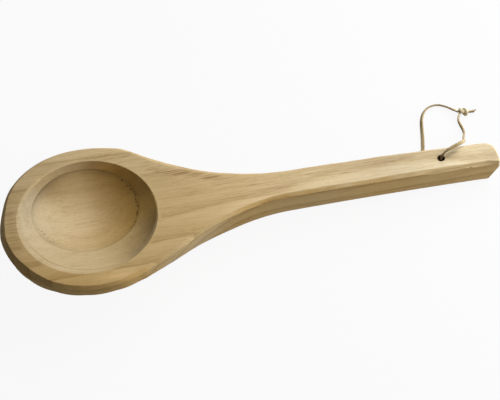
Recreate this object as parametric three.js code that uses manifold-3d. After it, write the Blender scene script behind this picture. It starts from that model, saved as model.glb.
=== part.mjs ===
// Sauna ladle: a bowl, neck and handle carved from one board, with a leather lace to hang it by.
// Millimetres, +Z up. The ladle lies as it rests on a table, on the flat under its bowl and on the
// end of its handle. +X runs from the bowl to the handle's end, and the origin is on the table,
// under the middle of the wooden body.
import * as THREE from 'three';
import { mergeVertices } from 'three/addons/utils/BufferGeometryUtils.js';
import Module from 'manifold-3d';

// The board: plan outline. The ladle's own frame has its origin in the middle of the bowl's mouth.
const HEAD_RADIUS = 70;
const SHOULDER_X = 37;
const SHOULDER_ARC_RADIUS = 105;
const NECK_END_X = 160;
const NECK_HALF_WIDTH = 13.4;
const FLANK_PULL_HEAD = 45;
const FLANK_ANGLE = THREE.MathUtils.degToRad(33);
const FLANK_PULL_HANDLE = 46;
const HANDLE_END_X = 328;
const HANDLE_END_HALF_WIDTH = 11.7;
const END_CORNER_RADIUS = 4;
const END_SKEW = 1.4;

// The board: heights. The handle's outer half bends down a little towards its end.
const EDGE_BEVEL = 2.5;
const RIM_SIDE_DEPTH = 9.5;
const HANDLE_SIDE_DEPTH = 19.4;
const NECK_SIDE_X = 115;
const NECK_LEAN = 3.4;
const NECK_LEAN_X = 90;
const CREASE_END_X = 118;
const CREASE_END_DEPTH = 3.2;
const HANDLE_DROP = 4.4;
const HEAD_DEPTH = 40;
const KEEL_FULL_X = 25;
const KEEL_ROUNDING = 1.6;
const KEEL_SHARE = 0.25;
const BILGE_SHARE = 0.94;
const END_BEVEL = 8.5;
const END_BEVEL_REACH = 15;
const END_BEVEL_START = 0.27;

// The hollow: a round mouth, a sloping ledge inside it, and a deeper dish cut nearer the back.
const MOUTH_RADIUS = 55.7;
const LIP_WIDTH = 4.6;
const LIP_SLOPE = THREE.MathUtils.degToRad(13);
const LIP_EASE = 0.1;
const LIP_STEP = 0.5;
const LIP_STEP_RUN = 0.25;
const LEDGE_BACK = 1.4;
const LEDGE_FRONT = 28;
const LEDGE_ENDS = 12.7;
const LEDGE_DEPTH = 8.5;
const FLOOR_THICKNESS = 18;
const DISH_FULLNESS = 2;

// The hanging hole and its lace.
const HOLE_FROM_END = 44;
const HOLE_RADIUS = 2.9;
const LACE_DIAMETER = 2.2;
const LACE_SIDES = 8;
const LACE_GAP = 0.3;
const TABLE_GAP = 0.1;
const KNOT_GAP = 0.7;
const KNOT_LENGTH = 5.8;
const KNOT_WIDTH = 7.6;
const KNOT_HEIGHT = 5;

const wood = new THREE.MeshStandardMaterial({ color: 0xc4a878, roughness: 0.62, metalness: 0 });
const leather = new THREE.MeshStandardMaterial({ color: 0xb6a88f, roughness: 0.75, metalness: 0 });

const wasm = await Module();
wasm.setup();

function toSolid(geometry) {
  const sameSpot = 1e-4;
  const bare = geometry.clone();
  bare.deleteAttribute('normal');
  bare.deleteAttribute('uv');
  const merged = mergeVertices(bare, sameSpot);
  const corners = merged.index.array;
  const kept = [];
  for (let t = 0; t < corners.length; t += 3) {
    const [a, b, c] = corners.slice(t, t + 3);
    if (a !== b && b !== c && c !== a) kept.push(a, b, c);
  }
  return new wasm.Manifold(new wasm.Mesh({
    numProp: 3,
    vertProperties: new Float32Array(merged.attributes.position.array),
    triVerts: new Uint32Array(kept),
  }));
}

function toGeometry(solid) {
  const mesh = solid.getMesh();
  const geometry = new THREE.BufferGeometry();
  geometry.setAttribute('position', new THREE.BufferAttribute(mesh.vertProperties, 3));
  geometry.setIndex(new THREE.BufferAttribute(mesh.triVerts, 1));
  geometry.computeVertexNormals();
  return geometry;
}

// A closed surface through rows of points that run from top to bottom, the rows going clockwise
// as seen from above.
function gridGeometry(rows, closeRows) {
  const positions = [];
  const last = closeRows ? rows.length : rows.length - 1;
  for (let i = 0; i < last; i++) {
    const near = rows[i];
    const far = rows[(i + 1) % rows.length];
    for (let j = 0; j + 1 < near.length; j++) {
      for (const p of [near[j], far[j], far[j + 1], near[j], far[j + 1], near[j + 1]]) {
        positions.push(p.x, p.y, p.z);
      }
    }
  }
  const geometry = new THREE.BufferGeometry();
  geometry.setAttribute('position', new THREE.Float32BufferAttribute(positions, 3));
  return geometry;
}

// Plan outline of the back half, from the tip of the head to the middle of the handle's end.
const shoulderAngle = Math.asin(SHOULDER_X / SHOULDER_ARC_RADIUS);
const shoulderHalfWidth = HEAD_RADIUS - SHOULDER_ARC_RADIUS * (1 - Math.cos(shoulderAngle));
const handleCorner = new THREE.Vector2(HANDLE_END_X - END_CORNER_RADIUS, HANDLE_END_HALF_WIDTH);

function planOutline() {
  const shoulder = new THREE.Vector2(SHOULDER_X, shoulderHalfWidth);
  const neckEnd = new THREE.Vector2(NECK_END_X, NECK_HALF_WIDTH);
  const leaveHead = new THREE.Vector2(Math.cos(FLANK_ANGLE), -Math.sin(FLANK_ANGLE));
  const handleRun = handleCorner.clone().sub(neckEnd).normalize();
  const pieces = [
    [new THREE.EllipseCurve(0, 0, HEAD_RADIUS, HEAD_RADIUS, Math.PI, Math.PI / 2, true), 22],
    [new THREE.EllipseCurve(0, HEAD_RADIUS - SHOULDER_ARC_RADIUS, SHOULDER_ARC_RADIUS,
      SHOULDER_ARC_RADIUS, Math.PI / 2, Math.PI / 2 - shoulderAngle, true), 6],
    [new THREE.CubicBezierCurve(shoulder, shoulder.clone().addScaledVector(leaveHead, FLANK_PULL_HEAD),
      neckEnd.clone().addScaledVector(handleRun, -FLANK_PULL_HANDLE), neckEnd), 16],
    [new THREE.LineCurve(neckEnd, handleCorner), 10],
    [new THREE.EllipseCurve(handleCorner.x, HANDLE_END_HALF_WIDTH - END_CORNER_RADIUS,
      END_CORNER_RADIUS, END_CORNER_RADIUS, Math.PI / 2, 0, true), 5],
    [new THREE.LineCurve(new THREE.Vector2(HANDLE_END_X, HANDLE_END_HALF_WIDTH - END_CORNER_RADIUS),
      new THREE.Vector2(HANDLE_END_X, 0)), 2],
  ];
  const points = [new THREE.Vector2(-HEAD_RADIUS, 0)];
  for (const [curve, steps] of pieces) points.push(...curve.getPoints(steps).slice(1));
  return points;
}

const { smoothstep, lerp, clamp } = THREE.MathUtils;

function topHeight(x) {
  const past = Math.max((x - NECK_END_X) / (HANDLE_END_X - NECK_END_X), 0);
  return -HANDLE_DROP * past * past;
}

// Under the neck's crease the side leans in towards the keel.
function neckLean(x) {
  return NECK_LEAN * smoothstep(x, SHOULDER_X, NECK_LEAN_X) * (1 - smoothstep(x, NECK_LEAN_X, NECK_END_X));
}

function sideDepth(x) {
  return neckLean(x) + lerp(RIM_SIDE_DEPTH, HANDLE_SIDE_DEPTH, smoothstep(x, SHOULDER_X, NECK_SIDE_X));
}

// The crease starts as the lower edge of the head's side and climbs to the bevel along the neck.
const endBevelTop = lerp(EDGE_BEVEL, HANDLE_SIDE_DEPTH, END_BEVEL_START);

function creaseDepth(x) {
  const onNeck = lerp(RIM_SIDE_DEPTH, CREASE_END_DEPTH, smoothstep(x, SHOULDER_X, CREASE_END_X));
  return lerp(onNeck, endBevelTop, smoothstep(x, NECK_END_X, HANDLE_END_X - END_BEVEL_REACH));
}

function keelDepth(x) {
  const headDepth = HEAD_DEPTH + KEEL_ROUNDING;
  return lerp(headDepth, HANDLE_SIDE_DEPTH + EDGE_BEVEL, smoothstep(x, KEEL_FULL_X, NECK_END_X));
}

// Where the line from an outline point across the underside meets the ladle's middle plane.
function keelX(x) {
  if (x <= SHOULDER_X) return KEEL_SHARE * x;
  const past = clamp((x - SHOULDER_X) / (NECK_END_X - SHOULDER_X), 0, 1);
  const onNeck = lerp(KEEL_SHARE * SHOULDER_X, NECK_END_X, past);
  return x < NECK_END_X ? onNeck : Math.min(x, HANDLE_END_X - END_BEVEL_REACH);
}

// One row of the body's skin, from the top's middle line, over the edge and down to the keel.
function bodyRow(point, inward) {
  const bilgeSteps = 7;
  const middleX = keelX(point.x);
  const onNeck = smoothstep(point.x, SHOULDER_X, NECK_END_X);
  const bilgeShare = lerp(BILGE_SHARE, EDGE_BEVEL / Math.max(point.y, EDGE_BEVEL * 2), onNeck);
  const bilgePower = lerp(2, 1, onNeck);
  const side = sideDepth(point.x);
  const keel = keelDepth(middleX);
  const inner = point.clone().addScaledVector(inward, EDGE_BEVEL);
  const foot = point.clone().addScaledVector(inward, neckLean(point.x));
  const row = [
    [middleX, 0, 0],
    [inner.x, inner.y, 0],
    [point.x, point.y, EDGE_BEVEL],
    [point.x, point.y, creaseDepth(point.x)],
    [foot.x, foot.y, side],
  ];
  for (let k = 1; k <= bilgeSteps; k++) {
    const done = k / bilgeSteps;
    const across = bilgeShare * done;
    const drop = 1 - Math.pow(1 - done, bilgePower);
    row.push([lerp(foot.x, middleX, across), lerp(foot.y, 0, across), lerp(side, keel, drop)]);
  }
  row.push([middleX, 0, keel]);
  return row;
}

// The handle's end leans in towards its underside and is cut a little askew.
function endShape([x, y, depth]) {
  const start = HANDLE_END_X - END_BEVEL_REACH;
  const near = clamp((x - start) / END_BEVEL_REACH, 0, 1);
  const low = clamp((depth - endBevelTop) / (HANDLE_SIDE_DEPTH - endBevelTop), 0, 1);
  const shaped = x - near * (END_BEVEL * low + END_SKEW * y / HANDLE_END_HALF_WIDTH);
  return new THREE.Vector3(shaped, y, topHeight(x) - depth);
}

function boardSolid() {
  const outline = planOutline();
  const rows = outline.map((point, i) => {
    const before = outline[Math.max(i - 1, 0)];
    const after = outline[Math.min(i + 1, outline.length - 1)];
    const along = after.clone().sub(before).normalize();
    const inward = new THREE.Vector2(along.y, -along.x);
    if (i === 0) inward.set(1, 0);
    if (i === outline.length - 1) inward.set(-1, 0);
    return bodyRow(point, inward);
  });
  const back = rows.map((row) => row.map(endShape));
  const front = rows.slice(1, -1).reverse()
    .map((row) => row.map(([x, y, depth]) => endShape([x, -y, depth])));
  return toSolid(gridGeometry([...back, ...front], true));
}

// The hollow as a solid to cut away: rings from above the mouth down to the dish's floor. The lip
// is widest in front and runs out at the back.
function hollowSolid() {
  const ringSteps = 64;
  const dishRings = 12;
  const above = 4;
  const lipRadius = MOUTH_RADIUS - LIP_WIDTH / 2;
  const dishHalfLength = MOUTH_RADIUS - LEDGE_ENDS;
  const dishHalfWidth = MOUTH_RADIUS - (LEDGE_FRONT + LEDGE_BACK) / 2;
  const dishY = (LEDGE_FRONT - LEDGE_BACK) / 2;
  const dishDepth = HEAD_DEPTH - FLOOR_THICKNESS;
  const rows = [];
  for (let i = 0; i < ringSteps; i++) {
    const angle = -2 * Math.PI * i / ringSteps;
    const c = Math.cos(angle);
    const s = Math.sin(angle);
    const lip = new THREE.Vector2(lipRadius * c, lipRadius * s + LIP_WIDTH / 2);
    const lipDepth = LIP_EASE + Math.tan(LIP_SLOPE) * (MOUTH_RADIUS - lip.length());
    const foot = lip.clone().setLength(lip.length() - LIP_STEP_RUN);
    const row = [
      new THREE.Vector3(0, 0, above),
      new THREE.Vector3(MOUTH_RADIUS * c, MOUTH_RADIUS * s, above),
      new THREE.Vector3(MOUTH_RADIUS * c, MOUTH_RADIUS * s, 0),
      new THREE.Vector3(lip.x, lip.y, -lipDepth),
      new THREE.Vector3(foot.x, foot.y, -lipDepth - LIP_STEP),
    ];
    for (let k = 0; k < dishRings; k++) {
      const out = Math.cos(Math.PI / 2 * k / dishRings);
      const depth = lerp(LEDGE_DEPTH, dishDepth, 1 - Math.pow(out, DISH_FULLNESS));
      row.push(new THREE.Vector3(dishHalfLength * c * out, dishHalfWidth * s * out + dishY, -depth));
    }
    row.push(new THREE.Vector3(0, dishY, -dishDepth));
    rows.push(row);
  }
  return toSolid(gridGeometry(rows, true));
}

const holeX = HANDLE_END_X - HOLE_FROM_END;

function holeSolid() {
  const boreSides = 24;
  const length = 4 * HANDLE_SIDE_DEPTH;
  const bore = new THREE.CylinderGeometry(HOLE_RADIUS, HOLE_RADIUS, length, boreSides);
  bore.rotateX(Math.PI / 2);
  bore.translate(holeX, 0, topHeight(holeX));
  return toSolid(bore);
}

// The table's plane in the ladle's frame: through the middle of the bowl's underside and
// touching the handle's underside near its end.
const handleThickness = HANDLE_SIDE_DEPTH + EDGE_BEVEL;
const footX = HANDLE_END_X - END_BEVEL;
const restSlope = (HEAD_DEPTH - handleThickness + topHeight(footX)) / footX;
const restPitch = Math.atan(restSlope);

function tableSolid() {
  const reach = 4 * HANDLE_END_X;
  const slab = new THREE.BoxGeometry(reach, reach, HEAD_DEPTH);
  slab.translate(0, 0, -HEAD_DEPTH / 2);
  slab.rotateY(-restPitch);
  slab.translate(0, 0, -HEAD_DEPTH);
  return toSolid(slab);
}

let bodySolid = boardSolid();
for (const cut of [hollowSolid(), holeSolid(), tableSolid()]) bodySolid = bodySolid.subtract(cut);

const ladle = new THREE.Group();
const body = new THREE.Mesh(toGeometry(bodySolid), wood);
body.name = 'ladle_body';
const resting = new THREE.Group();
resting.rotation.y = restPitch;
resting.position.z = HEAD_DEPTH * Math.cos(restPitch);
resting.add(body);
ladle.add(resting);
resting.updateMatrixWorld(true);
const span = new THREE.Box3().setFromObject(body, true);
resting.position.x = -(span.min.x + span.max.x) / 2;
resting.updateMatrixWorld(true);

// The lace comes out of both ends of the hole and lies on the table behind the handle. Its places
// are measured from the spot where the hole's axis meets the table.
const holeFoot = resting.localToWorld(new THREE.Vector3(holeX, 0, -HEAD_DEPTH + holeX * restSlope));
const lace = new THREE.Group();
lace.position.copy(holeFoot);
ladle.add(lace);

function mouthHeight(depth) {
  return resting.localToWorld(new THREE.Vector3(holeX, 0, topHeight(holeX) - depth)).z;
}

const topMouth = mouthHeight(0);
const bottomMouth = mouthHeight(handleThickness);
const alongHandle = (holeX - NECK_END_X) / (handleCorner.x - NECK_END_X);
const handleBack = lerp(NECK_HALF_WIDTH, HANDLE_END_HALF_WIDTH, alongHandle);
const lying = LACE_DIAMETER / 2 + TABLE_GAP;
const knotCentre = new THREE.Vector3(31.2, handleBack + 49.1, KNOT_HEIGHT / 2 + TABLE_GAP);
const knotReach = KNOT_LENGTH / 2 + KNOT_GAP;
const knotMiddle = 0.42 * KNOT_HEIGHT;
const tailStep = LACE_DIAMETER / 2 + LACE_GAP;

function onAxis(height) {
  return new THREE.Vector3(restSlope * height, 0, height);
}

function byKnot(x, y, z) {
  return new THREE.Vector3(knotCentre.x + x, knotCentre.y + y, z);
}

// Points along, back and up, the height being a share of the hole's end above the lying lace.
function fromMouth(mouth, points) {
  return points.map(([x, y, share]) => new THREE.Vector3(x, y, lerp(lying, mouth, share)));
}

const upperLeg = [
  onAxis(topMouth - 2.3),
  onAxis(topMouth + 0.4),
  ...fromMouth(topMouth, [
    [2.9, 0.05 * handleBack, 1.11],
    [5.6, 0.19 * handleBack, 1.17],
    [9.8, 0.37 * handleBack, 1.18],
    [14.1, 0.55 * handleBack, 1.15],
    [18.6, 0.74 * handleBack, 1.09],
    [22.6, 0.99 * handleBack, 1],
    [24.8, handleBack + 3.7, 0.87],
    [25.5, handleBack + 8.3, 0.7],
    [25.7, handleBack + 13.3, 0.51],
    [26.1, handleBack + 18.5, 0.33],
    [26.8, handleBack + 23.7, 0.17],
    [27.5, handleBack + 28.5, 0.05],
    [27.6, handleBack + 32.9, 0],
    [27, handleBack + 37.5, 0],
    [26.3, handleBack + 41.9, 0],
    [26.3, handleBack + 45, 0],
  ]),
  byKnot(-knotReach, -1.8, knotMiddle),
];
const lowerLeg = [
  onAxis(bottomMouth + 6.5),
  onAxis(bottomMouth + 4.2),
  ...fromMouth(bottomMouth, [
    [0.38, 0.1, 1.75],
    [0, 0.65, 0.95],
    [-1, 2.2, 0.33],
    [-2.6, 4.4, 0.06],
    [-5, 7.6, 0],
    [-7.4, handleBack - 0.9, 0],
    [-9.4, handleBack + 3.5, 0],
    [-9.9, handleBack + 8.9, 0],
    [-8.6, handleBack + 15.9, 0],
    [-6.9, handleBack + 23.9, 0],
    [-5.4, handleBack + 31.9, 0],
    [-4.2, handleBack + 39.9, 0],
    [-2.6, handleBack + 47.9, 0],
    [0.6, handleBack + 54.9, 0],
    [6.2, handleBack + 59.7, 0],
    [13, handleBack + 60.7, 0],
    [19.2, handleBack + 57.7, 0],
    [23.6, handleBack + 54.1, 0.05],
  ]),
  byKnot(-knotReach, 1.8, knotMiddle),
];
const longTail = [
  byKnot(knotReach, tailStep, knotMiddle),
  byKnot(knotReach + 2.5, tailStep - 0.4, lying),
  byKnot(knotReach + 7.5, tailStep - 1.2, lying),
];
const shortTail = [
  byKnot(knotReach, -tailStep, knotMiddle),
  byKnot(knotReach + 2.3, -tailStep - 0.6, lying),
  byKnot(knotReach + 5.6, -tailStep - 1.6, lying),
];

function laceStretch(name, route, steps) {
  const section = new THREE.Shape(Array.from({ length: LACE_SIDES }, (_, k) => {
    const angle = 2 * Math.PI * (k + 0.5) / LACE_SIDES;
    return new THREE.Vector2(Math.cos(angle), Math.sin(angle)).multiplyScalar(LACE_DIAMETER / 2);
  }));
  const extrudePath = new THREE.CatmullRomCurve3(route, false, 'centripetal');
  const stretch = new THREE.Mesh(new THREE.ExtrudeGeometry(section, { steps, extrudePath }), leather);
  stretch.name = name;
  lace.add(stretch);
}

laceStretch('lace_upper_leg', upperLeg, 34);
laceStretch('lace_lower_leg', lowerLeg, 36);
laceStretch('lace_long_tail', longTail, 4);
laceStretch('lace_short_tail', shortTail, 4);

// The run inside the hole joins the two legs.
const boreWay = upperLeg[0].clone().sub(lowerLeg[0]).setLength(LACE_GAP);
laceStretch('lace_bore_run', [lowerLeg[0].clone().add(boreWay), upperLeg[0].clone().sub(boreWay)], 3);

const knot = new THREE.Mesh(new THREE.SphereGeometry(0.5, 16, 10), leather);
knot.scale.set(KNOT_LENGTH, KNOT_WIDTH, KNOT_HEIGHT);
knot.position.copy(knotCentre);
knot.name = 'lace_knot';
lace.add(knot);

export default ladle;
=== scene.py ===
import math

import bmesh
import bpy
import numpy as np
from mathutils import Matrix, Vector


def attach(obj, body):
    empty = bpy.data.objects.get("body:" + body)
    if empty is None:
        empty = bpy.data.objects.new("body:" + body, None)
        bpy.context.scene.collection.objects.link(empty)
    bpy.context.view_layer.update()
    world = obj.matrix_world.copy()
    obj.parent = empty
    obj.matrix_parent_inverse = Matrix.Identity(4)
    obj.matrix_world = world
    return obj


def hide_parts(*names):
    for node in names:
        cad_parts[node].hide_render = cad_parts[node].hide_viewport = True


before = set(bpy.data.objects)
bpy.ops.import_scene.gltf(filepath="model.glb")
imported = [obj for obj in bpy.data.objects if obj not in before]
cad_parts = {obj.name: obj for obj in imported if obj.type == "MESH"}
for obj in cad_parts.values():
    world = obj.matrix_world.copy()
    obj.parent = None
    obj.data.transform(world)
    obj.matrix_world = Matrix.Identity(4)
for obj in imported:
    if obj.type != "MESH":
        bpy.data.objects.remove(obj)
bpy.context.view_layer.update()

# The view: the ladle as seen from above its front, from far off through a long lens, a little
# turned so that the handle climbs to the right. Its place is set in the ladle's own frame, which has
# its origin in the middle of the bowl's mouth and lies pitched on the table.
mm = 0.001
rest_pitch = math.radians(2.532987)
mouth_on_table = Vector((-128.972, 0, 39.961)) * mm
ladle_to_table = Matrix.Translation(mouth_on_table) @ Matrix.Rotation(rest_pitch, 4, "Y")

view_turn = math.radians(-7.35)
view_height = math.radians(52.24)
view_roll = math.radians(3.86)
view_distance = 2500 * mm
view_pixels_per_mm = 1.2688
view_target = Vector((131, 0, 0)) * mm
view_off_centre = (1.2, 11.45)
picture_width = 500

ahead = Vector((
    -math.sin(view_turn) * math.cos(view_height),
    math.cos(view_turn) * math.cos(view_height),
    -math.sin(view_height),
))
level = Vector((math.cos(view_turn), math.sin(view_turn), 0))
upward = level.cross(ahead)
to_right = level * math.cos(view_roll) - upward * math.sin(view_roll)
to_top = level * math.sin(view_roll) + upward * math.cos(view_roll)
off_target = (to_right * view_off_centre[0] + to_top * view_off_centre[1]) * mm / view_pixels_per_mm
stand = view_target - off_target - ahead * view_distance
pose = Matrix.Translation(stand) @ Matrix((to_right, to_top, -ahead)).transposed().to_4x4()
lens = bpy.data.cameras.new("view")
lens.sensor_width = 36
lens.lens = lens.sensor_width * view_pixels_per_mm * view_distance / mm / picture_width
camera = bpy.data.objects.new("view", lens)
camera.matrix_world = ladle_to_table @ pose
scene = bpy.context.scene
scene.collection.objects.link(camera)
scene.camera = camera

# The lace: one strip cut from a pale undyed hide, about 3 mm wide and half as thick. It comes up
# out of the handle's hole, bends over the back edge and lies on the table, and the other end comes
# out underneath and lies in a loose bow. It is not fixed; the knot keeps it in the hole.
lace_width = 3.0 * mm
lace_thickness = 1.5 * mm
lace_corner = 0.42 * mm
hole_foot = np.array([153.538, 0, 0]) * mm
edge_bend = hole_foot + np.array([21.2, 11.6, 25.2]) * mm

# How dark the hide is painted: 1 where darkest, 0 where clean, below 0 where it is painted paler. By the hole
# it is darker, partly from rubbing and partly painted shade; the paling at the bend over the edge is a painted
# highlight, and near the knot it is painted light. The reaches are in millimetres, from the hole, from the bend
# over the edge and from the knot.
leg_soiling = 0.22
hole_rub_and_shade_reach = 12
bend_painted_highlight = 0.45
bend_reach = 4
knot_painted_light = -0.6
knot_reach = [1, 6]


def linear(hex_colour):
    """An sRGB hex colour as linear red, green, blue and a full alpha."""
    parts = [int(hex_colour[i:i + 2], 16) / 255 for i in (1, 3, 5)]
    return [p / 12.92 if p <= 0.04045 else ((p + 0.055) / 1.055) ** 2.4 for p in parts] + [1]


def add(tree, kind, settings, inputs):
    """A new node with its settings, its inputs being values or the sockets that feed them."""
    made = tree.nodes.new(kind)
    for name, value in settings.items():
        setattr(made, name, value)
    for key, value in inputs.items():
        if isinstance(value, bpy.types.NodeSocket):
            tree.links.new(value, made.inputs[key])
        else:
            made.inputs[key].default_value = value
    return made


# Vegetable-tanned cowhide, split and cut into a lace: a matt, slightly fuzzy cut edge and a fine pebbled grain,
# so the eye sees soft pale tan with darker pores and handling marks. Near the hole it is darker, partly from
# rubbing and partly painted shade; at the bend over the edge, in the knot and on the long tail it is painted
# paler, as painted light, and the short tail is painted darker, as painted shade.
pebble_width = 0.7 * mm
pebble_height = 0.12 * mm
handling_width = 6 * mm
hide = bpy.data.materials.new("undyed_cowhide_cut_lace")
hide.use_nodes = True
hide_tree = hide.node_tree
hide_shader = hide_tree.nodes["Principled BSDF"]
hide_place = add(hide_tree, "ShaderNodeTexCoord", {}, {}).outputs["Object"]
pebbles = add(hide_tree, "ShaderNodeTexVoronoi", {"feature": "SMOOTH_F1"}, {
    "Vector": hide_place, "Scale": 1 / pebble_width, "Smoothness": 0.6})
handling = add(hide_tree, "ShaderNodeTexNoise", {}, {
    "Vector": hide_place, "Scale": 1 / handling_width, "Detail": 5, "Roughness": 0.6})
tan = add(hide_tree, "ShaderNodeValToRGB", {}, {"Fac": handling.outputs["Fac"]})
tan.color_ramp.elements[0].position = 0.3
tan.color_ramp.elements[0].color = linear("#a68e60")
tan.color_ramp.elements[1].position = 0.72
tan.color_ramp.elements[1].color = linear("#cfbc90")
rub_and_painted_light = add(hide_tree, "ShaderNodeAttribute", {"attribute_name": "rub_and_painted_light"}, {}).outputs["Fac"]
painted_paling = add(hide_tree, "ShaderNodeMath", {"operation": "MULTIPLY"}, {0: rub_and_painted_light, 1: -1.0})
hide_colour = tan.outputs["Color"]
# The first mix darkens the hide, partly for rubbing and partly as painted shade; the second, from its negative,
# paints it paler as painted light.
for blend, amount, over in (
    ("MULTIPLY", 0.35, pebbles.outputs["Distance"]),
    ("MIX", rub_and_painted_light, linear("#5f4a2c")),
    ("MIX", painted_paling.outputs[0], linear("#efe3c2")),
):
    hide_colour = add(hide_tree, "ShaderNodeMix", {"data_type": "RGBA", "blend_type": blend}, {
        "Factor": amount, "A": hide_colour, "B": over}).outputs["Result"]
hide_tree.links.new(hide_colour, hide_shader.inputs["Base Color"])
hide_bump = add(hide_tree, "ShaderNodeBump", {}, {
    "Height": pebbles.outputs["Distance"], "Strength": 0.5, "Distance": pebble_height})
hide_tree.links.new(hide_bump.outputs["Normal"], hide_shader.inputs["Normal"])
hide_shader.inputs["Roughness"].default_value = 0.78
hide_shader.inputs["IOR"].default_value = 1.45

lace_tree = bpy.data.node_groups.new("cut_lace", "GeometryNodeTree")
lace_ports = {
    name: lace_tree.interface.new_socket(name, in_out=way, socket_type=kind)
    for name, way, kind in (
        ("Route", "INPUT", "NodeSocketGeometry"),
        ("Width", "INPUT", "NodeSocketFloat"),
        ("Thickness", "INPUT", "NodeSocketFloat"),
        ("Corner", "INPUT", "NodeSocketFloat"),
        ("Hide", "INPUT", "NodeSocketMaterial"),
        ("Lace", "OUTPUT", "NodeSocketGeometry"),
    )
}
given = add(lace_tree, "NodeGroupInput", {}, {})
lace_line = add(lace_tree, "GeometryNodeMeshToCurve", {}, {"Mesh": given.outputs["Route"]})
lace_across, squeezed = (
    add(lace_tree, "GeometryNodeInputNamedAttribute", {"data_type": kind}, {"Name": layer})
    for layer, kind in (("across", "FLOAT_VECTOR"), ("squeeze", "FLOAT")))
turned = add(lace_tree, "GeometryNodeSetCurveNormal", {"mode": "FREE"}, {
    "Curve": lace_line.outputs["Curve"], "Normal": lace_across.outputs["Attribute"]})
blank = add(lace_tree, "GeometryNodeCurvePrimitiveQuadrilateral", {}, {
    "Width": given.outputs["Width"], "Height": given.outputs["Thickness"]})
eased = add(lace_tree, "GeometryNodeFilletCurve", {"mode": "POLY"}, {
    "Curve": blank.outputs["Curve"], "Count": 3, "Radius": given.outputs["Corner"]})
swept = add(lace_tree, "GeometryNodeCurveToMesh", {}, {
    "Curve": turned.outputs["Curve"], "Profile Curve": eased.outputs["Curve"],
    "Scale": squeezed.outputs["Attribute"], "Fill Caps": True})
smooth = add(lace_tree, "GeometryNodeSetShadeSmooth", {}, {"Geometry": swept.outputs["Mesh"]})
real = add(lace_tree, "GeometryNodeRealizeInstances", {}, {"Geometry": smooth.outputs["Geometry"]})
dressed = add(lace_tree, "GeometryNodeSetMaterial", {}, {
    "Geometry": real.outputs["Geometry"], "Material": given.outputs["Hide"]})
add(lace_tree, "NodeGroupOutput", {}, {"Lace": dressed.outputs["Geometry"]})


def between(a, b, share):
    return a + (b - a) * share


def read_off(rows, known_at, at):
    """Rows of three numbers, known at some places, read off between them."""
    return np.stack([np.interp(at, known_at, rows[:, k]) for k in range(3)], axis=1)


def run_along(path):
    """How far along a path each of its points lies."""
    return np.concatenate([[0], np.cumsum(np.linalg.norm(np.diff(path, axis=0), axis=1))])


def evened(path, steps):
    """The same path as evenly spaced points."""
    run = run_along(path)
    return read_off(path, run, np.linspace(0, run[-1], steps))


def smooth_route(points, steps, steps_per_gap=24):
    """Even points on one smooth curve, a centripetal Catmull-Rom spline, through the given ones."""
    points = np.asarray(points, float)
    gaps = np.linalg.norm(np.diff(points, axis=0), axis=1) ** 0.5
    passed = np.concatenate([[0], np.cumsum(gaps)])
    ends = np.vstack([2 * points[0] - points[1], points, 2 * points[-1] - points[-2]])
    times = np.concatenate([[-gaps[0]], passed, [passed[-1] + gaps[-1]]])
    dense = []
    for i in range(1, len(ends) - 2):
        p, t = ends[i - 1:i + 3], times[i - 1:i + 3]
        for u in np.linspace(t[1], t[2], steps_per_gap, endpoint=False):
            a = [((t[k + 1] - u) * p[k] + (u - t[k]) * p[k + 1]) / (t[k + 1] - t[k]) for k in range(3)]
            b = [((t[k + 2] - u) * a[k] + (u - t[k]) * a[k + 1]) / (t[k + 2] - t[k]) for k in range(2)]
            dense.append(((t[2] - u) * b[0] + (u - t[1]) * b[1]) / (t[2] - t[1]))
    return evened(np.array(dense + [points[-1]]), steps)


def heading(path):
    """The direction in which a path runs at each of its points."""
    run = np.gradient(path, axis=0)
    return run / np.linalg.norm(run, axis=1)[:, None]


def square_to(path, way):
    """Directions, one for each point of a path, turned square to its run."""
    run = heading(path)
    way = way - run * np.sum(way * run, axis=1)[:, None]
    return way / np.linalg.norm(way, axis=1)[:, None]


def keep_on(mesh, layer, kind, field, values):
    """Keeps a value on each point of a mesh, where a material or a node can read it."""
    mesh.attributes.new(layer, kind, "POINT").data.foreach_set(field, values.astype(np.float32).ravel())


def cut_lace(name, strands):
    """A mesh of lace strips: each strand is its points, how its width faces, its squeeze and how dark or pale
    it is painted.
    """
    route = bpy.data.meshes.new(name)
    points, across, squeeze, soiling_and_painted_light = (np.concatenate(part) for part in zip(*strands))
    edges, first = [], 0
    for strand in strands:
        edges += [(first + i, first + i + 1) for i in range(len(strand[0]) - 1)]
        first += len(strand[0])
    route.from_pydata([tuple(p) for p in points], edges, [])
    from_hole = np.linalg.norm((points - hole_foot)[:, :2], axis=1) / mm
    # Near the hole the hide is painted darker, partly for rubbing and partly as painted shade.
    soiling_and_painted_light = between(soiling_and_painted_light, 1, np.exp(-(from_hole / hole_rub_and_shade_reach) ** 2))
    keep_on(route, "across", "FLOAT_VECTOR", "vector", across)
    keep_on(route, "squeeze", "FLOAT", "value", squeeze)
    keep_on(route, "rub_and_painted_light", "FLOAT", "value", soiling_and_painted_light)
    strip = bpy.data.objects.new(name, route)
    scene.collection.objects.link(strip)
    sweep = strip.modifiers.new("cut_lace", "NODES")
    sweep.node_group = lace_tree
    for port, value in (
        ("Width", lace_width), ("Thickness", lace_thickness), ("Corner", lace_corner), ("Hide", hide),
    ):
        sweep[lace_ports[port].identifier] = value
    cut = bpy.data.meshes.new_from_object(strip.evaluated_get(bpy.context.evaluated_depsgraph_get()))
    cut.name = name
    strip.modifiers.remove(sweep)
    strip.data = cut
    bpy.data.meshes.remove(route)
    return strip


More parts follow.
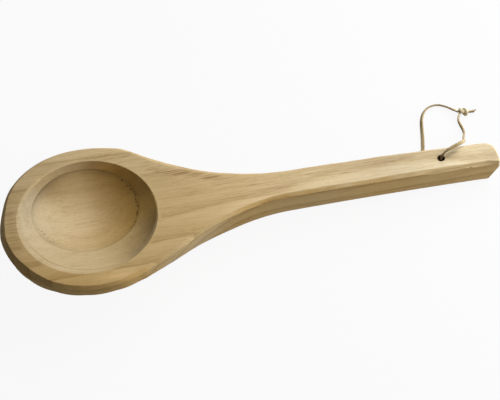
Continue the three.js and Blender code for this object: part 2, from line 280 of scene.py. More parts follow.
def lace_leg(name, points, facing, steps):
    """A leg of the lace, with the middle line it follows and the way its width faces at the knot."""
    path = smooth_route(points, steps) * mm + hole_foot
    facing = np.asarray(facing, float)
    across = square_to(path, read_off(facing, np.linspace(0, 1, len(facing)), np.linspace(0, 1, steps)))
    to_knot = np.linalg.norm(path - path[-1], axis=1) / mm
    to_bend = np.linalg.norm(path - edge_bend, axis=1) / mm
    # Near the knot the leg is painted paler as painted light, and at the bend over the edge with a painted
    # highlight.
    soiling_and_painted_light = np.interp(to_knot, knot_reach, [knot_painted_light, leg_soiling])
    soiling_and_painted_light -= bend_painted_highlight * np.exp(-(to_bend / bend_reach) ** 2)
    return path, across[-1], cut_lace(name, [(path, across, np.ones(steps), soiling_and_painted_light)])


# The points are in millimetres from the foot of the hole, and the facings are spread evenly along
# the leg. Both legs start in the middle of the hole, where they are one strip.
upper_points = [
    (0.5, 0, 10.0), (0.8, 0, 17.0), (0.95, 0, 22.3), (1.2, 0.05, 24.9), (2.5, 0.8, 27.25), (5.4, 2.6, 28.75),
    (9.6, 5.1, 28.5), (13.8, 7.5, 27.5), (17.8, 9.5, 26.4), (21.2, 11.6, 25.2), (22.9, 14.7, 22.7),
    (23.8, 19.2, 18.0), (24.2, 23.8, 14.0), (25.6, 29.2, 9.4), (27.0, 34.6, 5.3), (27.6, 39.6, 2.6),
    (27.3, 44.0, 1.75), (26.4, 48.8, 1.65), (26.15, 52.3, 1.8), (26.6, 54.4, 2.3), (27.9, 56.5, 3.1),
]
upper_facing = [
    (0, -0.61, 0.79), (0, -0.61, 0.79), (0, -0.6, 0.79), (-0.1, -0.1, 1), (-0.3, 0.35, 0.85), (-0.3, 0.5, 0.75),
    (0.1, 0.6, 0.75), (0.2, 0.4, 0.9), (0.2, 0.1, 1), (0.1, 0, 1), (0, 0, 1),
]
upper_path, upper_across, upper_leg = lace_leg("lace_upper_leg_strip", upper_points, upper_facing, steps=120)

lower_points = [
    (0.5, 0, 10.0), (0.36, 0, 7.3), (0.25, 0.1, 4.6), (0, 0.65, 2.98), (-1, 2.2, 1.6), (-2.6, 4.4, 1.0),
    (-5, 7.6, 1.0), (-7.4, 11.19, 1.05), (-9.4, 15.59, 1.15), (-9.9, 20.99, 1.25), (-8.6, 27.99, 1.25),
    (-6.9, 35.99, 1.25), (-5.4, 43.99, 1.35), (-4.2, 51.99, 1.45), (-2.6, 59.99, 1.55), (0.6, 66.99, 1.65),
    (6.2, 71.5, 1.7), (13.1, 71.9, 1.7), (19.4, 68.5, 1.7), (24.0, 64.2, 2.1), (27.9, 60.0, 3.1),
]
lower_facing = [
    (0, 1, 0), (0.8, 0.6, 0), (0.9, 0.4, 0), (1, 0.1, 0.1), (1, 0, 0.35), (0.8, -0.2, 0.6), (0.4, -0.5, 0.75),
    (0, -0.6, 0.79), (-0.1, -0.6, 0.79), (-0.35, -0.7, 0.55),
]
lower_path, lower_across, lower_leg = lace_leg("lace_lower_leg_strip", lower_points, lower_facing, steps=140)

# The knot: the lace's two ends laid together and tied in one overhand knot, pulled tight, with the
# cut tails left a few millimetres long. The strips are squeezed narrower inside it.
knot_middle = np.array([31.7, 58.3, 2.7])
knot_rope = 2.2
knot_half = 5.6
knot_core_half = 3.1
knot_squeeze = 0.68
knot_entry = 0.12
strand_steps = 170
tail_facing = np.array([0, -0.61, 0.79])
# The short tail is painted darker, a painted shade, and the long tail a little paler, a painted light.
long_tail = {
    "points": [(5.0, 0.6, -0.5), (7.2, 0.6, -0.8), (10.6, 1.0, -0.8)], "squeeze": 0.8, "soiling_and_painted_light": -0.1}
short_tail = {
    "points": [(4.8, -0.5, -0.2), (6.8, -0.45, -0.5), (8.8, -0.45, -0.6)], "squeeze": 1, "soiling_and_painted_light": 0.8}


def tight_overhand(rope, half, steps, rounds):
    """The middle line of an overhand knot in a doubled lace of that diameter, drawn tight along x.

    It starts as a loose knot. In each round the line is shortened a little, and stretches of it that
    have come closer than the rope's diameter are pushed apart, with both ends held.
    """
    t = np.linspace(-2.1, 2.1, steps)
    line = np.stack([t ** 5 / 5 - 2 * t, t ** 3 - 3 * t, 0.5 * (t ** 4 - 4 * t ** 2)], axis=1)
    slant = math.atan2(line[-1, 1], line[-1, 0])
    level_out = np.array([[math.cos(slant), -math.sin(slant)], [math.sin(slant), math.cos(slant)]])
    line[:, :2] = line[:, :2] @ level_out
    line *= 1.3 * rope
    line[:, 2] -= 0.55 * line[:, 2].min() + 0.45 * line[:, 2].max()
    inside = np.abs(line[:, 0]) < 0.75 * half
    line = np.vstack([[(-half, 0, 0)], line[inside], [(half, 0, 0)]])
    index = np.arange(steps)
    apart = np.abs(index[:, None] - index[None, :])
    for turn in range(rounds):
        if turn % 5 == 0:
            line = evened(line, steps)
        far_along = apart * np.linalg.norm(line[1] - line[0]) > 1.75 * rope
        line[1:-1] += 0.25 * (line[2:] + line[:-2] - 2 * line[1:-1])
        for _ in range(3):
            gap = line[:, None, :] - line[None, :, :]
            distance = np.linalg.norm(gap, axis=2) + 1e-9
            close = far_along & (distance < rope)
            push = np.where(close, 0.5 * (rope - distance) / distance, 0)[:, :, None] * gap
            line = line + 0.5 * push.sum(axis=1) / np.maximum(close.sum(axis=1), 1)[:, None]
        line[0] = (-half, 0, 0)
        line[-1] = (half, 0, 0)
    return line * (1, -1, -1)


knot_line = tight_overhand(knot_rope, knot_half, steps=90, rounds=700)
knot_run = heading(knot_line)
beside = np.zeros_like(knot_line)
beside[0] = (0, 1, 0)
for i in range(1, len(knot_line)):
    carried = beside[i - 1] - knot_run[i] * (beside[i - 1] @ knot_run[i])
    beside[i] = carried / np.linalg.norm(carried)
core_start = int(np.argmax(knot_line[:, 0] > -knot_core_half))
core_end = len(knot_line) - int(np.argmax(knot_line[::-1, 0] < knot_core_half))
in_core = slice(core_start, core_end)
core_across = np.cross(knot_run, beside)[in_core]
strand_apart = 0.5 * lace_thickness / mm * knot_squeeze
along_strand = np.linspace(0, 1, strand_steps)
into_knot = np.interp(along_strand, [0, knot_entry], [0, 1])[:, None]
onto_tail = np.interp(along_strand, [0.8, 0.9], [0, 1])[:, None]
knot_strands = []
for to_side, leg_path, leg_across in ((-1, upper_path, upper_across), (1, lower_path, lower_across)):
    core = knot_line[in_core] + to_side * strand_apart * beside[in_core]
    lead_in = (leg_path[-3:] - hole_foot) / mm - knot_middle
    tail = long_tail if to_side * beside[-1][1] > 0 else short_tail
    strand_path = smooth_route(np.vstack([lead_in[::2], core[::3], tail["points"]]), strand_steps)
    across = read_off(core_across, np.linspace(0, 1, len(core)), along_strand)
    same_face = 1 if leg_across @ across[int(knot_entry * strand_steps)] > 0 else -1
    across = between(leg_across * same_face, across, into_knot)
    across = square_to(strand_path, between(across, tail_facing, onto_tail))
    squeeze = np.interp(along_strand, [0, 0.1, 0.86, 0.95], [1, knot_squeeze, knot_squeeze, tail["squeeze"]])
    # The strands in the knot are painted paler, painted light against the knot's own shade.
    soiling_and_painted_light = np.interp(along_strand, [0, 0.79, 0.85], [knot_painted_light, knot_painted_light, tail["soiling_and_painted_light"]])
    knot_strands.append(((strand_path + knot_middle) * mm + hole_foot, across, squeeze, soiling_and_painted_light))
knot = cut_lace("lace_knot_strips", knot_strands)

for leg, path, exit_point, nodes in (
    (upper_leg, upper_path, (154.64 * mm, 0, 24.98 * mm), ("lace_upper_leg", "lace_bore_run")),
    (lower_leg, lower_path, (153.68 * mm, 0, 3.13 * mm), ("lace_lower_leg",)),
):
    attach(leg, "lace")
    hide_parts(*nodes)
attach(knot, "lace")
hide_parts("lace_knot", "lace_long_tail", "lace_short_tail")

# The body: bowl, neck and handle carved from one board of a pale, close-grained hardwood, left bare.
# The hollow was cut in two settings, a round mouth with a sloping ledge and a deeper dish nearer the
# back; the outside was sawn and sanded by hand, so edges and bevels waver a little.
head_radius = 70
shoulder_x = 37
shoulder_arc = 105
neck_end_x = 160
neck_half_width = 13.4
neck_lean = 3.4
neck_lean_x = 90
neck_side_x = 115
flank_angle = math.radians(33)
flank_pulls = (45, 46)
handle_aim_x = 324
handle_end_x = 328
handle_end_half_width = 11.7
handle_drop = 4.4
far_corner = (11, 7)
far_taper = 0.9
near_corner = (2.2, 2.2)
end_cut_x = 313
end_cut_top = 7.06
end_cut_slant = 8.5
end_skew = 1.4
end_bulge = 0.9
rim_side = 9.5
handle_side = 19.4
handle_thickness = 21.9
crease_x = 118
crease_depth = 3.2
keel_depth = 41.6
keel_full_x = 25
keel_share = 0.25
head_bilge = 0.94
handle_bilge = 2.5
mouth_radius = 55.7
lip_radius = 53.3
lip_middle = (1.5, 1.9)
lip_slope = math.tan(math.radians(13))
ridge_depth = 8.5
dish_depth = 22
dish_half_length = 43
dish_half_width = 41
dish_y = 13.3
dish_fullness = 2.2
hole_x = 284
hole_radius = 2.9


def ease(v, low, high):
    """A smooth rise from 0 to 1 between two values."""
    t = np.clip((v - low) / (high - low), 0, 1)
    return t * t * (3 - 2 * t)


def plateau(v, low, full, fading, gone):
    """1 between two values, with a smooth rise before and a smooth fall after."""
    return ease(v, low, full) * (1 - ease(v, fading, gone))


def hump(v, middle, width):
    """1 at the middle value, fading smoothly to both sides."""
    return np.exp(-((v - middle) / width) ** 2)


def arc(centre, radius, start, end, steps):
    a = np.linspace(start, end, steps + 1)[1:, None]
    return np.array(centre) + np.array(radius) * np.hstack([np.cos(a), np.sin(a)])


def soft_rows(keys, softness, corners):
    """Rows of points down the given keys, each corner eased over its softness."""
    spread = np.array([-2.6, -1.5, -0.7, 0, 0.7, 1.5, 2.6])
    kernel = np.linspace(-2.5, 2.5, 11)
    weight = np.exp(-kernel ** 2 / 2)
    weight /= weight.sum()
    rows = []
    for row in keys:
        run = run_along(row)
        plain = [j for j in range(len(run)) if j not in corners]
        at = np.concatenate([run[plain]] + [run[j] + softness[j] * spread for j in corners])
        at = np.sort(np.clip(at, 0, run[-1]))
        sample = at[:, None] + np.interp(at, run, softness)[:, None] * kernel
        rows.append(np.stack([np.interp(sample, run, row[:, k]) @ weight for k in range(3)], axis=1))
    return np.array(rows)


# The outline seen from above, first along the back from the bowl to the handle's end, then round by
# the front. Hand work shows in it: the head is flatter at its far left, the far flank hollower, and
# the near flank fuller after a slimmer shoulder.
head_steps, shoulder_steps, flank_steps, handle_steps, corner_steps, across_steps = 64, 20, 72, 60, 14, 24
quarter = math.pi / 2
shoulder_turn = math.asin(shoulder_x / shoulder_arc)
shoulder = np.array([shoulder_x, head_radius - shoulder_arc * (1 - math.cos(shoulder_turn))])
neck_end = np.array([neck_end_x, neck_half_width])
handle_run = np.array([handle_aim_x, handle_end_half_width]) - neck_end
handle_run /= np.linalg.norm(handle_run)
leave_head = np.array([math.cos(flank_angle), -math.sin(flank_angle)])
pulls = [shoulder, shoulder + flank_pulls[0] * leave_head, neck_end - flank_pulls[1] * handle_run, neck_end]
u = np.linspace(0, 1, flank_steps + 1)[1:, None]
flank = (1 - u) ** 3 * pulls[0] + 3 * (1 - u) ** 2 * u * pulls[1]
flank += 3 * (1 - u) * u ** 2 * pulls[2] + u ** 3 * pulls[3]
down_handle = np.linspace(0, 1, handle_steps + 1)[1:, None]
back, front = (np.vstack([
    [[-head_radius, 0]],
    arc((0, 0), head_radius, math.pi, quarter, head_steps),
    arc((0, head_radius - shoulder_arc), shoulder_arc, quarter, quarter - shoulder_turn, shoulder_steps),
    flank,
    between(neck_end, np.array([handle_end_x - long, handle_end_half_width]), down_handle),
    arc((handle_end_x - long, handle_end_half_width - wide), (long, wide), quarter, 0, corner_steps),
]) for long, wide in (far_corner, near_corner))
back[:, 1] -= far_taper * ease(back[:, 0], 180, handle_end_x) * (back[:, 1] > 0)
back *= 1 - 0.02 * hump(np.degrees(np.arctan2(back[:, 1], back[:, 0])), 162, 14)[:, None]
back[:, 1] -= 1.9 * plateau(back[:, 0], 35, 62, 95, 125)
front[:, 1] += 1.2 * hump(front[:, 0], 64, 16) - 1.5 * hump(front[:, 0], 34, 11)
end_y = np.linspace(back[-1, 1], -front[-1, 1], across_steps + 2)[1:-1]
end_line = np.stack([np.full(across_steps, handle_end_x), end_y], axis=1)
outline = np.vstack([back, end_line, front[:0:-1] * [1, -1]])
along = np.roll(outline, -1, axis=0) - np.roll(outline, 1, axis=0)
along /= np.linalg.norm(along, axis=1)[:, None]
inward = np.stack([along[:, 1], -along[:, 0]], axis=1)
rows_back = len(back)
front_of = [0] + [len(outline) - i for i in range(1, rows_back)]

# How deep the sides go at each point of the outline, and where the keel under it lies.
x, y = outline.T
on_neck = ease(x, shoulder_x, neck_end_x)
lean = neck_lean * plateau(x, shoulder_x, neck_lean_x, neck_lean_x, neck_end_x)
side = lean + between(rim_side, handle_side, ease(x, shoulder_x, neck_side_x))
crease = between(rim_side, crease_depth, ease(x, shoulder_x, crease_x))
crease = between(crease, end_cut_top, ease(x, neck_end_x, end_cut_x))
past_shoulder = np.clip((x - shoulder_x) / (neck_end_x - shoulder_x), 0, 1)
keel_x = between(keel_share * np.minimum(x, shoulder_x), neck_end_x, past_shoulder)
keel_x = np.where(x >= neck_end_x, np.minimum(x, end_cut_x), keel_x)
keel_x[front_of] = keel_x[:rows_back]
keel = between(keel_depth, handle_thickness, ease(keel_x, keel_full_x, neck_end_x))
bilge_share = between(head_bilge, handle_bilge / np.maximum(np.abs(y), 5), on_neck)
bilge_power = between(2, 1, on_neck)

# The bevel round the top edge: it wavers, is slight across the handle's end and at the near corner
# there, steeper along the flanks, and cut broad and deep at the head's left.
round_by = np.cumsum(np.linalg.norm(outline - np.roll(outline, 1, axis=0), axis=1))
waver = 0.5 * np.sin(round_by / 7.3 + 1) + 0.35 * np.sin(round_by / 3.1) + 0.5 * np.sin(round_by / 17 + 2)
on_near_side = ease(-y, -6, 6)
at_end = np.clip(-inward[:, 0], 0, 1) * (x > 300)
at_corner = ease(x, handle_end_x - 8, handle_end_x - 3) * on_near_side
at_flank = plateau(x, 25, 50, 95, 130)
from_left = np.degrees(np.arctan2(-y, -x))
cut_flat = 1.4 * hump(from_left, 0, 25) + 1.2 * hump(from_left, 36, 19)
bevel_wide = (between(2.5, 2.9, on_neck) + 0.3 * at_flank) * (1 + 0.09 * waver)
bevel_wide = cut_flat + bevel_wide * (1 - 0.6 * at_end) * (1 - 0.55 * at_corner)
bevel_deep = between(2.5, 2.1, on_neck) - 0.9 * at_flank + 1.1 * ease(x, 262, 280) * on_near_side
bevel_deep = bevel_deep * (1 + between(0.08, 0.17, on_neck) * np.roll(waver, 5))
bevel_deep = bevel_deep * (1 - 0.6 * at_end) * (1 - 0.3 * at_corner)
bevel_deep = between(bevel_deep, 7.5, np.clip(cut_flat / 2, 0, 1))


def edge_key(inset, depth):
    at = outline + inward * np.broadcast_to(inset, x.shape)[:, None]
    return np.column_stack([at, np.broadcast_to(depth, x.shape)])


# The outer skin runs from the top edge over the bevel, down the side with its saw facets and round
# the bilge to the keel.
facets = 0.5 * (1 - np.abs(np.sin(9 * np.arctan2(y, x)))) * (1 - ease(x, 10, shoulder_x))
flattened = facets + 1.7 * hump(from_left, 18, 14)
foot = edge_key(lean + flattened, side)
keel_line = np.column_stack([keel_x, np.zeros_like(x), keel])
skin_keys = [
    edge_key(bevel_wide + 0.5, 0), edge_key(bevel_wide, 0), edge_key(0, bevel_deep),
    edge_key(0.8 * flattened, crease), foot,
]
bilge_steps = 20
for k in range(1, bilge_steps + 1):
    done = k / bilge_steps
    inward_share = bilge_share * done
    down_share = 1 - (1 - done) ** bilge_power
    skin_keys.append(between(foot, keel_line, np.column_stack([inward_share, inward_share, down_share])))
skin_keys.append(keel_line)
skin_soft = np.array([0, 0.3, 0.25, 0.4, 0.6] + [0.5] * bilge_steps + [0])
skin = soft_rows(np.stack(skin_keys, axis=1), skin_soft, (1, 2, 3, 4))

# The flat top of neck and handle. Its rows take up the wavering of the end's edge as they near it.
split = int(np.argmax(back[:, 0] >= head_radius))
cross_share = np.linspace(0, 1, across_steps + 2)[:, None]
straight_rows = [between(skin[i, 0], skin[front_of[i], 0], cross_share) for i in range(split, rows_back)]
end_waver = skin[rows_back - 1:rows_back + across_steps + 1, 0] - straight_rows[-1]
end_top_x = straight_rows[-1][:, 0].mean()
handle_top = np.array([row + end_waver * ease(row[:, 0].mean(), 300, end_top_x) for row in straight_rows])

# The hollow: mouth, lip, the floor and edge of the groove left between the two settings, ledge, and
# the dish down to its middle. The groove shows on the near side.
head_rim = np.vstack([skin[:split + 1, 0], handle_top[0][1:-1], skin[front_of[split]:, 0]])
rim_turn = np.arctan2(head_rim[:, 1], head_rim[:, 0])
c, s = np.cos(rim_turn), np.sin(rim_turn)
zero = np.zeros_like(rim_turn)
lip = np.stack([lip_radius * c + lip_middle[0], lip_radius * s + lip_middle[1]], axis=1)
lip_out = np.linalg.norm(lip, axis=1)
lip_depth = 0.1 + lip_slope * (mouth_radius - lip_out)
groove = np.clip((mouth_radius - lip_out) / 2.6, 0.15, 1) * between(0.1, 1, ease(-s, 0.1, 0.6))
hollow_keys = [np.column_stack([r * c, r * s, zero]) for r in (mouth_radius + 1.5, mouth_radius)]
for inset, sink in ((0, 0), (0.3, 0.85), (0.75, 0.65)):
    drawn_in = lip * (1 - inset * groove / lip_out)[:, None]
    hollow_keys.append(np.column_stack([drawn_in, lip_depth + sink * groove]))
dish_rings = 30
for k in range(dish_rings):
    out = math.cos(quarter * k / dish_rings)
    ring_depth = between(ridge_depth, dish_depth, 1 - out ** dish_fullness)
    hollow_keys.append(np.column_stack([
        dish_half_length * c * out, dish_half_width * s * out + dish_y, zero + ring_depth]))
hollow_keys.append(np.column_stack([zero, zero + dish_y, zero + dish_depth]))
hollow_soft = np.array([0, 0.25, 0.12, 0.1, 0.12, 0.25] + [0.6] * (dish_rings - 1) + [0])
hollow = soft_rows(np.stack(hollow_keys, axis=1), hollow_soft, (1, 2, 3, 4, 5))
rim_top = np.stack([between(head_rim, hollow[:, 0], r) for r in np.linspace(0, 1, 9)], axis=1)


def handle_fall(at_x):
    """How far the handle's top has dropped below the level of the mouth."""
    return handle_drop * np.maximum((at_x - neck_end_x) / (handle_end_x - neck_end_x), 0) ** 2


def end_shape(points):
    """The handle's drop and its end, which leans in below and is cut a little askew and rounded."""
    at_x, at_y, depth = points.T
    near_end = np.clip((at_x - end_cut_x) / (handle_end_x - end_cut_x), 0, 1)
    low = np.clip((depth - end_cut_top) / (handle_side - end_cut_top), 0, 1)
    off_middle = at_y / handle_end_half_width
    cut_back = end_cut_slant * low + end_skew * off_middle - end_bulge * (1 - off_middle ** 2)
    return np.column_stack([at_x - near_end * cut_back, at_y, -handle_fall(at_x) - depth])


spots, faces, of_hollow, first = [], [], [], 0
for sheet, closed in ((skin, True), (handle_top, False), (rim_top, True), (hollow, True)):
    rows, columns = sheet.shape[:2]
    spots.append(sheet.reshape(-1, 3))
    of_hollow.append(np.full(rows * columns, float(sheet is hollow)))
    for i in range(rows if closed else rows - 1):
        a, b = first + i * columns, first + (i + 1) % rows * columns
        faces += [(a + j, a + j + 1, b + j + 1, b + j) for j in range(columns - 1)]
    first += rows * columns
spots = end_shape(np.vstack(spots)) * mm

# The sheets are sewn into one closed shell and planed level where it rests on the table.
weld_reach = 0.002 * mm
body_mesh = bpy.data.meshes.new("ladle_body_carved")
body_mesh.from_pydata([tuple(p) for p in spots], [], faces)
keep_on(body_mesh, "hollow", "FLOAT", "value", np.concatenate(of_hollow))
body_mesh.transform(ladle_to_table)
shell = bmesh.new()
shell.from_mesh(body_mesh)
bmesh.ops.remove_doubles(shell, verts=shell.verts, dist=weld_reach)
bmesh.ops.dissolve_degenerate(shell, edges=shell.edges, dist=weld_reach / 2)
bmesh.ops.recalc_face_normals(shell, faces=shell.faces)
whole_shell = shell.faces[:] + shell.edges[:] + shell.verts[:]
bmesh.ops.bisect_plane(
    shell, geom=whole_shell, dist=1e-7, plane_co=(0, 0, 0), plane_no=(0, 0, 1), clear_inner=True)
bmesh.ops.holes_fill(shell, edges=[e for e in shell.edges if e.is_boundary], sides=0)
bmesh.ops.recalc_face_normals(shell, faces=shell.faces)
shell.to_mesh(body_mesh)
shell.free()
body = bpy.data.objects.new("ladle_body_carved", body_mesh)
scene.collection.objects.link(body)

# The hole: each step of the drill is its depth under the handle's top and its radius, wider at both
# ends, where the hole's edges are eased.
drill_steps = [
    (-2, 4.6), (-0.4, 3.6), (0.1, 3.2), (0.6, 2.98), (1.4, hole_radius),
    (20.5, hole_radius), (21.3, 2.98), (21.8, 3.2), (22.3, 3.6), (24, 4.6),
]
drill_sides = 40
drill_spots, drill_faces = [], []
for depth, radius in drill_steps:
    for i in range(drill_sides):
        a = 2 * math.pi * i / drill_sides
        drill_spots.append(Vector((
            hole_x + radius * math.cos(a), radius * math.sin(a), -handle_fall(hole_x) - depth)) * mm)
for j in range(len(drill_steps) - 1):
    above, below = j * drill_sides, (j + 1) * drill_sides
    for i in range(drill_sides):
        k = (i + 1) % drill_sides
        drill_faces.append((above + i, below + i, below + k, above + k))
drill_faces.append(tuple(range(drill_sides)))
drill_faces.append(tuple(reversed(range(len(drill_spots) - drill_sides, len(drill_spots)))))
drill_mesh = bpy.data.meshes.new("drill")
drill_mesh.from_pydata(drill_spots, [], drill_faces)
drill_mesh.transform(ladle_to_table)
drill = bpy.data.objects.new("drill", drill_mesh)
scene.collection.objects.link(drill)
drilled = body.modifiers.new("hanging_hole", "BOOLEAN")
drilled.operation = "DIFFERENCE"
drilled.solver = "EXACT"
drilled.object = drill
cleaned = body.modifiers.new("cleaned_cut", "WELD")
cleaned.merge_threshold = weld_reach
even_light = body.modifiers.new("even_light", "WEIGHTED_NORMAL")
even_light.keep_sharp = True
body_mesh.shade_smooth()
finished = bpy.data.meshes.new_from_object(body.evaluated_get(bpy.context.evaluated_depsgraph_get()))
body.modifiers.clear()
body.data = finished
finished.name = "ladle_body_carved"
bpy.data.objects.remove(drill)

# Bare alder, sawn, turned and lightly sanded: faint growth rings that run as long light and brown bands along
# the board, fibre streaks, and small dark pores that show as dashes. The bowl is browner and the handle's top
# paler, partly the wood's tone and partly painted shade and painted light; where a cut met the ends of the
# fibres they tore and darkened.
wood = bpy.data.materials.new("bare_sanded_alder")
wood.use_nodes = True
wood_tree = wood.node_tree
wood_shader = wood_tree.nodes["Principled BSDF"]
in_board = ladle_to_table.inverted()

# The slow changes of colour, together with painted light and shade, are worked out for each point of the body
# and kept on it as "tint", and where fibres are torn and where dark streaks gather as "torn" and "streaky".
# First, where each point lies in the board and which way it faces: nx along it, ny to the back and nz up.
count = len(finished.vertices)
corner_at, corner_slope, turned_by = np.empty(count * 3), np.empty(count * 3), np.empty(count)
finished.vertices.foreach_get("co", corner_at)
finished.vertices.foreach_get("normal", corner_slope)
finished.attributes["hollow"].data.foreach_get("value", turned_by)
board_turn = np.array(in_board.to_3x3())
px, py, pz = (corner_at.reshape(-1, 3) @ board_turn.T + np.array(in_board.translation)).T / mm
nx, ny, nz = (corner_slope.reshape(-1, 3) @ board_turn.T).T
below_top = -pz - handle_fall(px)
from_bowl = np.hypot(px, py)
from_dish = np.hypot(px / dish_half_length, (py - dish_y) / dish_half_width)
in_hollow = (turned_by > 0.5) & (from_bowl < mouth_radius + 0.08)
on_ledge = in_hollow & (from_dish > 1)
in_bore = np.hypot(px - hole_x, py) < hole_radius + 0.5
in_bore &= (below_top > 0.5) & (below_top < handle_thickness - 0.5)
to_bowl, to_handle = np.clip(-nx, 0, 1), np.clip(nx, 0, 1)
to_front, to_back = np.clip(-ny, 0, 1), np.clip(ny, 0, 1)
steep = 1 - np.clip(nz, 0, 1)
above_side = 1 - ease(steep, 0.4, 0.6)
near_half = 1 - ease(py, -6, 6)
far_share = np.clip((py - dish_y) / dish_half_width, -1, 1)
left_share = np.clip(-px / dish_half_length, -1, 1)
right_wall = on_ledge * ease(to_bowl, 0.22, 0.42)
far_left_wall = hump(px, -26, 17) * hump(py, 43, 11)

# Warmth is how far the wood is shifted from pale to honey, which also darkens it: the head and the sawn sides
# more than the handle's top, and in the hollow the wall that faces the bowl's left the most. It is partly the
# wood's own tone and partly painted shade, strongest on sides and walls that face away from the lamps.
on_flank = plateau(px, 25, 50, 85, 125) * near_half * (1 - ease(-nz, 0.35, 0.7))
bevel_warmth = between(0.85, 0.54, ease(px, 240, 285)) * between(0.35, 1, near_half)
side_warmth = between(0.4, 0.93, ease(px, 160, 250))
edge_warmth = between(between(bevel_warmth, side_warmth, 1 - above_side), -0.15, on_flank)
rim_fade = np.where(py > 0, 0.26, between(0.26, 0.08, ease(px, -10, 25)))
rim_warmth = 0.7 - rim_fade * np.clip(py / 60, -1, 1)
outer_warmth = between(rim_warmth, -0.12, ease(px, 40, 300)) + ease(steep, 0, 0.29) * edge_warmth
outer_warmth += 0.1 * above_side * hump(px, 250, 30)
hollow_warmth = 0.42 + 1.7 * to_bowl - 0.45 * to_handle + np.where(on_ledge, -0.1, 0.5) * to_front
hollow_warmth += 0.2 * ~on_ledge * (1 - ease(py, -18, 12)) * (1 - ease(px, 0, 30)) + 0.35 * far_left_wall
warmth = np.where(in_hollow, np.clip(hollow_warmth, -0.3, 1.25), np.clip(outer_warmth, -0.3, 1))

# Painted light and shade in the hollow: the walls that are cut across the fibres are darker than the floor,
# partly as end grain and partly as painted shade, and the floor's middle and a spot to the near right of it are
# painted lighter. Painted shade is darkest just inside the ridge between ledge and dish, and also lies on the
# dish's far left and near side and under the mouth's near right edge; the ledge's right wall is painted darker
# to the front and lighter to the back.
near_ridge = np.exp((np.minimum(from_dish, 1) - 1) / 0.2) * ease(-far_share, 0.1, 0.8)
dish_grain_and_painted_light = 1.15 - 0.62 * to_handle - 0.15 * to_back + 0.2 * hump(from_dish, 0, 0.5) - 0.13 * near_ridge
dish_grain_and_painted_light += 0.13 * hump(px, 22, 14) * hump(py, -8, 10) - 0.36 * far_left_wall
ledge_grain_and_painted_light = 1.12 - 0.6 * to_bowl - 0.6 * to_handle
ledge_grain_and_painted_light *= between(1, between(0.72, 1.3, ease(py, -22, 14)), right_wall)
# Painted shade under the mouth's near right edge.
ledge_grain_and_painted_light *= 1 - 0.42 * ease(from_bowl, 45, 55) * ease(px, 15, 35) * (1 - ease(py, -12, 4))
# Painted shade just inside the ridge, strongest at the far left.
inside_ridge = np.exp((np.minimum(from_dish, 1) - 1) / 0.06) * in_hollow * (below_top > ridge_depth - 0.12)
ridge_shade = 0.25 + 0.17 * far_share - 0.07 * left_share
ridge_shade += 0.6 * np.clip(left_share, 0, 1) * np.clip(far_share, 0, 0.4)

# Painted light and shade outside, as changes from 1 with the place of each: the left, far and near rim, the
# near shoulder, the neck's top, the near side, the middle of the handle, its last bevel, its end, the end
# grain, partly darker grain and partly painted shade, and a painted shadow of the lace on the top just right of
# it.
right_of_lace = (px - hole_x) * 0.447 - py * 0.894
up_lace = (px - hole_x) * 0.894 + py * 0.447
outer_grain_and_painted_light = np.ones(count)
for change, where in (
    (-0.1, hump(px, -62, 9)),
    (0.09, ease(py, 53, 59) * (1 - ease(px, 30, 50)) * between(1, 1.8, ease(px, 10, 25))),
    (0.26, hump(px, 17, 16) * hump(py, -62, 5)),
    (-0.14, hump(px, 63, 10) * hump(py, -50, 7)),
    (0.1, plateau(px, 60, 130, 190, 225) * (1 - ease(steep, 0.02, 0.1))),
    (0.08, ease(steep, 0.5, 0.8) * plateau(px, 120, 160, 225, 260) * (py < 0)),
    (-0.1, above_side * hump(px, 250, 22)),
    (0.08, plateau(steep, 0.1, 0.3, 0.45, 0.6) * ease(px, 255, 275)),
    (-0.1, ease(px, 308, 324)),
    (-0.25, ease(nx, 0.15, 0.5) * ease(px, 300, 312) * ease(below_top, 3, 6)),
    # The lace's painted shadow, which stays on the handle when the lace swings.
    (-0.45, hump(right_of_lace, 1.2, 2.2) * plateau(up_lace, 1, 4, 12, 19) * (below_top < 2)),
):
    outer_grain_and_painted_light += change * where
grain_and_painted_light = np.where(in_hollow, np.where(on_ledge, ledge_grain_and_painted_light, dish_grain_and_painted_light), outer_grain_and_painted_light)
# Inside the drilled hole the wood is painted dark, a painted shade.
grain_and_painted_light = np.where(in_bore, 0.16, grain_and_painted_light * (1 - inside_ridge * ridge_shade))
honey_wood = np.array(linear("#f6dfb1")[:3])
tint = between(np.ones(3), honey_wood, warmth[:, None]) * grain_and_painted_light[:, None]

# Fibres are torn at the dish's right edge and in its left wall, and here and there along the foot of
# the near bevel. Dark streaks gather on the far shoulder, the left rim and the far rim.
right_tear = 1.05 * hump(from_dish, 0.96, 0.035) * in_hollow * np.clip(px / 20 - 1, 0, 1)
left_tear = 0.8 * hump(from_dish, 0.9, 0.07) * in_hollow * np.clip(-px / 20 - 1, 0, 1) * (1 - ease(py, 0, 14))
bevel_tears = sum(hump(px, at, 9) for at in (112, 138, 186, 231, 272, 306))
bevel_tears = 0.7 * hump(below_top, 2.3, 0.8) * (py < -5) * bevel_tears
torn = np.clip(right_tear + left_tear + 0.15 * on_ledge * to_handle + bevel_tears, 0, 1)
streaky = hump(py + 0.43 * (px - 55), 38, 5) * plateau(px, 40, 55, 105, 125)
streaky += hump(px, -60, 7) * hump(py, 5, 26) + hump(px, 24, 14) * hump(py, 58, 4)
streaky = np.clip(streaky * (below_top < 0.6), 0, 1)
keep_on(finished, "tint", "FLOAT_COLOR", "color", np.column_stack([tint, np.ones(count)]))
keep_on(finished, "torn", "FLOAT", "value", torn)
keep_on(finished, "streaky", "FLOAT", "value", streaky)

